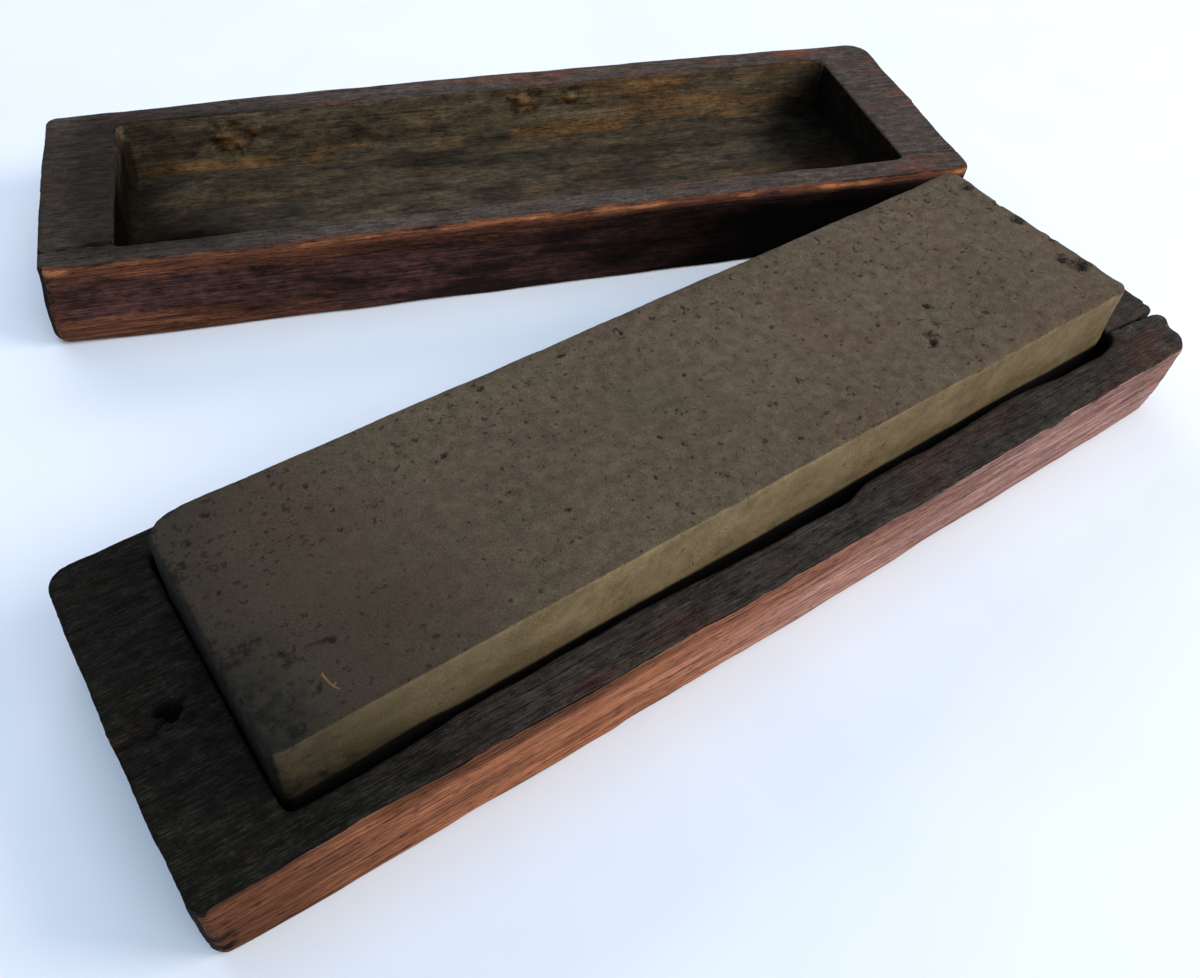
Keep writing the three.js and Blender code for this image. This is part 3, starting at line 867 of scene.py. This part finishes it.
# painted shade: the left end face is painted black below its top edge
left_end_shade = 0.6 * (x < -hx + 0.1) * step(0.3, 2.5, STONE_H - z)
black = (body.part != TOP) * (body.part != UNDER) * np.maximum(oil_and_gap_shade, left_end_shade)
dark, oil_and_shade, crowd = (np.clip(v, 0, 1) for v in (dark, oil_and_shade, crowd))
stone = body.build("whetstone_body", dict(used=used, dirt=dark, soak_and_shade=oil_and_shade, black=black, crowd=crowd))
stone.data.transform(placed(STONE_AT, STONE_TURN))
stone.data.materials.append(stone_material())
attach(stone, "stone")
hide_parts("whetstone")

# ---- lid
# It is modelled hollow side up in its own frame, then placed.
LID_H = 21.2
LX, LY = 119.8, 35.0  # half its length and width
# the hollow's left, right, near and far walls, and floor
QX0, QX1, QY0, QY1, QZ = -102.0, 103.8, -27.2, 28.0, 5.7
cover = hollowed(lines([-LX, QX0, QX1, LX], [0.55, 0.85, 0.55]),
                 lines([-LY, QY0, -25.9, QY1, LY], [0.36, 0.45, 0.55, 0.42]),
                 lines([0, LID_H], [0.42]), lines([QZ, LID_H], [0.62]), QX0, QX1, QY0, QY1)
x, y, z = cover.P.T
near = (y < 0)
top_r = 0.8 + 0.3 * noise(x / 9, y / 9, 0, 60) + near * (0.7 + 0.35 * noise(x / 11, 0, 0, 61))
low_r = 1.2 + 0.3 * noise(x / 12, y / 12, 5, 62) + 1.3 * step(-104, -119, x)
mouth = 0.7 + 0.3 * noise(x / 6, y / 6, 0, 63)
shape(cover, LID_H, LX, LY, (3.6, 4.0, 6.2, 3.2), top_r, low_r,
      pocket_shape(QX0, QX1, QY0, QY1, 1.8, mouth, QZ, 2.6))
q = cover.Q
# its long sides swell, and all its edges wander
q[:, 1] -= (step(-28, -LY, y)
            * (0.35 * (1 - (x / LX) ** 2) - 0.5 + 1.1 * step(40, 118, x) * step(6, 20, z) - 0.4
               + 0.25 * fbm(x / 15, 0, z / 9, 3, seed=64)))
far_side = step(28, LY, y)
swell = 1.1 * (1 - (x / 100) ** 2) - 0.35 + 0.3 * fbm(x / 15, 0, z / 9, 3, seed=65)
q[:, 1] += far_side * (0.15 + 0.65 * step(-90, -60, x)) + far_side * swell
q[:, 1] += step(-34, QY0, y) * step(-18, QY0, y) * 0.4 * fbm(x / 12, 0, 0, 3, seed=66)
q[:, 1] += step(34, QY1, y) * step(18, QY1, y) * 0.45 * fbm(x / 13, 0, z / 8, 3, seed=67)
ends = (np.abs(x) > LX - 1e-6)
q[:, 1] -= step(-20, -LY, y) * 1.4 * step(16, 3, z)
q[:, 0] += (step(-106, -LX, x)
            * (-0.5 - 0.35 * y / LY - 1.1 * step(20, 7, z) + 0.3 * step(-15, -33, y) * step(12, 20, z))
            + step(106, LX, x) * 0.8)
q[:, 0] += step(-113, -LX, x) * (0.30 * fbm(y / 13, z / 12, 0, 4, 0.45, 68) + 0.5 * step(0, -35, y) * 0.6)
q[:, 0] += step(113, LX, x) * 0.22 * fbm(y / 10, z / 10, 0, 4, 0.45, 69)
relief = 0.15 * fbm(x / 22, y / 1.1, z / 1.1, 4, 0.6, 70) + 0.06 * fbm(x / 7, y / 0.55, z / 0.55, 2, 0.5, 71)
gouge = fbm(x / 26, y / 2.4, z / 2.4, 3, 0.5, 72)
relief -= 0.20 * step(0.2, 0.5, gouge)
relief *= np.where(ends, 0.35, 1)
dirt = np.zeros(len(x))
top_m = cover.on(TOP) * 1.0
hollow = cover.on(FLOOR) | cover.on(INNER)
relief += cover.on(FLOOR) * (0.22 * fbm(x / 14, y / 4.5, 0, 4, 0.55, 73))
# end-grain ridges across the left rim
relief += top_m * step(-101, -104, x) * 0.10 * fbm(x / 5, y / 0.8, 0, 3, 0.6, 74)
relief, dirt = cracks(x, y, top_m, (
    ([(-120.3, -26.3), (-110, -25.9), (-101.4, -25.6)], 0.6, 2.6, 0.0),
    ([(-120.3, 14.0), (-114, 13.5), (-109, 13.1)], 0.45, 0.7, 1.0),
    ([(-104, 6.5), (-109, 6.2), (-113.5, 6.6)], 0.4, 0.5, 1.0),
), relief, dirt)
split = (np.clip(1 - (np.abs(y + 26.3 + 0.4 * noise(z / 6, 0, 0, 75)) / 0.45) ** 2, 0, 1) * (x < -LX + 1e-6)
         * step(9, 17, z))
dirt = np.maximum(dirt, split)
# knots in the far wall of the hollow
far_wall = cover.on(INNER) & (y > QY1 - 0.5)
orange = np.zeros(len(x))
for kx, kz, kr in ((-73.5, 13.5, 3.6), (-66.5, 15.5, 1.6), (11.0, 16.5, 2.7), (25.5, 16.3, 1.8)):
    knot = (np.hypot((x - kx) / 1.35, z - kz) / kr + 0.55 * noise(x / 1.5, z / 1.5, kx, 76)
            + 0.25 * noise(x / 0.7, z / 0.7, kx, 77))
    relief += (far_wall
               * (-0.5 * np.clip(1 - np.abs(knot - 1.0) / 0.45, 0, 1) + 0.7 * np.clip(1 - knot ** 2, 0, 1)))
    ring = np.clip(1 - np.abs(knot - 1.15) / 0.5, 0, 1) * (noise(x / 1.2, z / 1.2, kx, 78) > -0.15)
    dirt = np.maximum(dirt, far_wall * 0.62 * ring)
    orange = np.maximum(orange, far_wall * step(1.1, 0.3, knot))
    orange = np.maximum(orange, far_wall * 0.8 * step(1.9, 0.9, knot)
                        * step(0.0, 0.5, noise(x / 1.1, z / 1.1, kx, 79)))
cover.push(relief)
q = cover.Q
q[:, 0] += split * 1.6
q[:, 2] = np.maximum(q[:, 2], 0.0)
down = np.where(cover.on(WALL), LID_H - z, 0.0)
rim = np.where(cover.on(TOP), y + LY, 0.0)
line = rim - down
near_face = ((y < -LY + 5.5) & (cover.on(WALL) | cover.on(TOP)) & (np.abs(x) < LX - 1e-6)) * 1.0
shift = 0.8 * fbm(x / 14, 0, 0, 3, seed=81)
band = 1.65 + 1.1 * fbm(x / 7, 0, 0, 5, 0.65, 80)
power = (0.92 + 1.0 * fbm(x / 9, 0, 0, 3, seed=82) + 0.10 * step(-100, -113, x)
         - 0.5 * step(-98, -88, x) * step(-52, -66, x) + 0.3 * step(-50, -40, x))
wear = near_face * np.exp(-((line + 0.75 - shift) / np.maximum(band, 0.6)) ** 2) * np.clip(power, 0.35, 1.6)
upper = step(-9.5, -3.0, line) * step(0.4, -0.4, line)
wear = most(
    wear,
    near_face * upper * (0.66 + 0.45 * fbm(x / 26, z / 2.5, 0, 4, seed=83)) * step(95, 0, x),
    near_face * (0.66 + 0.5 * fbm(x / 22, z / 2.5, 4, 4, seed=98)) * step(9, 6, z) * step(-36, -62, x),
    near_face * step(-110, -116, x) * 0.45 * step(0.5, 3, down),
    0.45 * cover.on(WALL) * (y > 0) * (0.5 + fbm(x / 35, z / 5, 0, 3, seed=84)) * step(0.6, 2.5, down),
    top_m * step(28.5, 32, y) * step(-60, -10, x) * (0.34 + 0.4 * fbm(x / 12, y / 2, 0, 3, seed=99)),
    cover.on(UNDER) * (0.40 + 0.5 * fbm(x / 40, y / 12, 0, 3, seed=85)),
)
film = top_m * step(0.2, 1.5, rim + 10 * (y > -28))
far_inner = cover.on(INNER) * (y > QY1 - 3.2) * step(QZ + 0.5, QZ + 4.0, z)
wear = np.maximum(wear, far_inner * (0.62 + 0.3 * fbm(x / 9, z / 4, 0, 3, seed=97)))
inside = hollow * 1.0
# rim colour: greenish black at the left beside the hollow, brown elsewhere
brown = (0.06 + 0.30 * step(-24, -32, y) + 0.95 * step(-88, -20, x) + 0.35 * step(26, 33, y)
         + 0.35 * step(-108, -117, x) + 0.3 * fbm(x / 20, y / 9, 0, 3, seed=95))
tone = top_m * np.clip(brown, 0, 1)
# hollow colour: orange brown patches on the far wall, along its foot and on the floor
patch = fbm(x / 17, z / 6, y / 6, 4, seed=88)
wall_far = cover.on(INNER) & (y > QY1 - 3.0)
foot = wall_far * step(2.0, 0.5, np.abs(z - QZ - 1.4)) + 0.9 * cover.on(FLOOR) * step(QY1 - 3.2, QY1 - 1.8, y)
glow = (wall_far * (0.10 + 0.75 * step(5, 55, x))
        * step(-0.1, 0.45, patch + 0.4 * step(20, 50, x) * step(15, 11, z)) * step(QZ + 1, QZ + 4, z))
along_foot = (fbm(x / 12, z / 2, 0, 4, seed=86) + 0.45 * step(-98, -90, x) * step(-52, -68, x)
              + 0.5 * step(-10, 18, x) - 0.12)
glow = most(
    glow,
    np.clip(foot, 0, 1) * step(-0.1, 0.45, along_foot) * step(88, 74, x),
    cover.on(FLOOR) * (0.30 + 0.3 * step(0, 60, x)) * step(0.0, 0.5, fbm(x / 24, y / 3.5, 0, 4, seed=87)),
)
tone = np.maximum(tone, np.clip(np.maximum(glow, orange), 0, 1) * hollow)
# darker in the hollow: painted shadow over its right end, cast by the right wall across the floor and
# slanting up the far wall; painted shade on the left wall below its top edge; darker at the near left corner,
# along the left end and on the near wall; patches of old oil elsewhere
right = step(68, 93, x + 7 * fbm(x / 11, y / 8, z / 8, 3, seed=89) - 0.25 * y
             - 1.2 * (z - QZ) * (y > QY1 - 3))
oil_and_shadow = hollow * 0.86 * right
corner = step(1.5, 0.45, np.hypot((x + 103) / 44, (y + 22) / 34) + 0.15 * fbm(x / 7, y / 7, 0, 3, seed=93))
oil_and_shadow = most(
    oil_and_shadow,
    hollow * 0.95 * corner,
    # painted shade on the left wall below its top edge
    hollow * 0.86 * step(QX0 + 4, QX0 + 1.5, x) * step(LID_H - 2.5, LID_H - 6.5, z),
    hollow * (x > QX0 + 1) * (0.6 + 0.2 * (y < 20))
        * step(QX0 + 24, QX0 + 3, x + 6 * fbm(x / 9, y / 6, 0, 3, seed=90)),
    cover.on(FLOOR) * 0.5 * np.exp(-((x - 36) / 14) ** 2 - ((y - 3) / 8) ** 2),
    cover.on(FLOOR) * 0.45 * step(0.05, 0.5, fbm(x / 22, y / 7, 0, 4, seed=91)),
    cover.on(INNER) * (y < 0) * 0.6,
    wall_far * 0.6 * step(0.15, 0.5, fbm(x / 12, z / 5, 0, 4, seed=94)) * step(30, -20, x),
)
dirt = np.maximum(dirt, oil_and_shadow)
# painted shade on the lid's near face below its worn top band: darkest to the right, where the base and stone
# shadow it, with a few dirt blotches
shade = near_face * step(-1.2, -3.0, line)
dirt = most(
    dirt,
    shade * 0.42 * step(0.05, 0.45, fbm(x / 17, z / 2.4, 0, 4, seed=92)),
    shade * 0.20 * step(-118, -60, x),
    shade * (0.985 - 0.25 * step(-7, -2.5, line)) * step(-60, 62, x + 14 * fbm(x / 18, z / 5, 0, 3, seed=96)),
)
dirt = np.clip(dirt, 0, 1)
lid = cover.build("box_lid_wood",
                  dict(wear=wear, dirt=dirt, film=film, inside=inside, endgrain=ends, tone=tone))
lid.matrix_world = placed(LID_AT, LID_TURN)
lid.data.materials.append(wood(
    "worn_oiled_hardwood_lid",
    worn=[(0.070, 0.026, 0.016), (0.170, 0.062, 0.032), (0.30, 0.120, 0.055)],
    worn_far=[(0.070, 0.026, 0.016), (0.170, 0.062, 0.032), (0.30, 0.120, 0.055)],
    aged=[(0.018, 0.0097, 0.0080), (0.073, 0.0345, 0.0285), (0.150, 0.062, 0.045)],
    film=[(0.0070, 0.0068, 0.0045), (0.0170, 0.0154, 0.0102), (0.033, 0.0285, 0.0190)],
    film_far=[(0.025, 0.0195, 0.0155), (0.067, 0.0530, 0.0430), (0.122, 0.098, 0.079)],
    inside=[(0.013, 0.0105, 0.0070), (0.056, 0.0435, 0.0275), (0.120, 0.090, 0.052)],
    inside_far=[(0.032, 0.0180, 0.0080), (0.110, 0.060, 0.0240), (0.225, 0.125, 0.050)],
))
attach(lid, "lid")
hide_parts("box_lid")

# ---- table, light and camera
me = bpy.data.meshes.new("table_top")
me.from_pydata([(-3, -3, 0), (3, -3, 0), (3, 3, 0), (-3, 3, 0)], [], [(0, 1, 2, 3)])
floor = bpy.data.objects.new("table_top", me)
TABLE_DROP = 0.0001  # the table lies this far under the object, so that their faces never coincide
floor.location.z = -TABLE_DROP
bpy.context.scene.collection.objects.link(floor)
fm = Shade("pale_table")
paint = fm.ramp(fm.noise((0.02, 0.02, 0.02), 3), [(0.3, (0.80, 0.845, 0.90)), (0.7, (0.84, 0.88, 0.925))])
floor.data.materials.append(fm.finish(paint, 0.6, None, 0.2))

scene = bpy.context.scene
scene.view_settings.view_transform = "Standard"
world = bpy.data.worlds.new("sky")
scene.world = world
world.use_nodes = True
bg = world.node_tree.nodes["Background"]
bg.inputs[0].default_value = (0.62, 0.80, 1.0, 1)
bg.inputs[1].default_value = 0.06


def area(name, at, aim, size, power, color):
    li = bpy.data.lights.new(name, "AREA")
    li.shape, li.size, li.size_y = "RECTANGLE", *size
    li.energy, li.color = power, color
    ob = bpy.data.objects.new(name, li)
    ob.location = at
    ob.rotation_euler = (Vector(aim) - Vector(at)).to_track_quat("-Z", "Y").to_euler()
    scene.collection.objects.link(ob)


area("sky", (-0.55, 0.35, 1.15), (0.0, 0.05, 0.0), (1.4, 1.2), 4.2, (0.24, 0.60, 1.0))
area("overhead", (0.22, 0.0, 1.4), (0.06, 0.0, 0.0), (1.8, 1.5), 7.3, (0.64, 0.79, 1.0))
area("front", (-0.10, -0.85, 1.10), (0.0, 0.0, 0.0), (1.4, 1.0), 9.2, (0.96, 0.96, 0.97))
area("back", (0.10, 1.10, 0.60), (0.0, 0.10, 0.0), (1.4, 0.6), 8.4, (1.0, 0.91, 0.97))
area("key", (0.80, -0.48, 0.62), (0.05, 0.0, 0.0), (0.5, 0.5), 8.8, (1.0, 0.91, 0.86))

cam = bpy.data.cameras.new("camera")
cam.lens, cam.sensor_width = 31.111, 36.0
cam.shift_x, cam.shift_y = 0.07038, 0.00697
cam.clip_start, cam.clip_end = 0.01, 20
co = bpy.data.objects.new("camera", cam)
CAMERA_AT = (-0.11122, -0.09957, 0.17330)
CAMERA_TURN = (40.149, -1.606, -32.760)  # degrees about X, Y and Z
turn = Euler([math.radians(v) for v in CAMERA_TURN])
co.matrix_world = Matrix.Translation(Vector(CAMERA_AT)) @ turn.to_matrix().to_4x4()
scene.collection.objects.link(co)
scene.camera = co
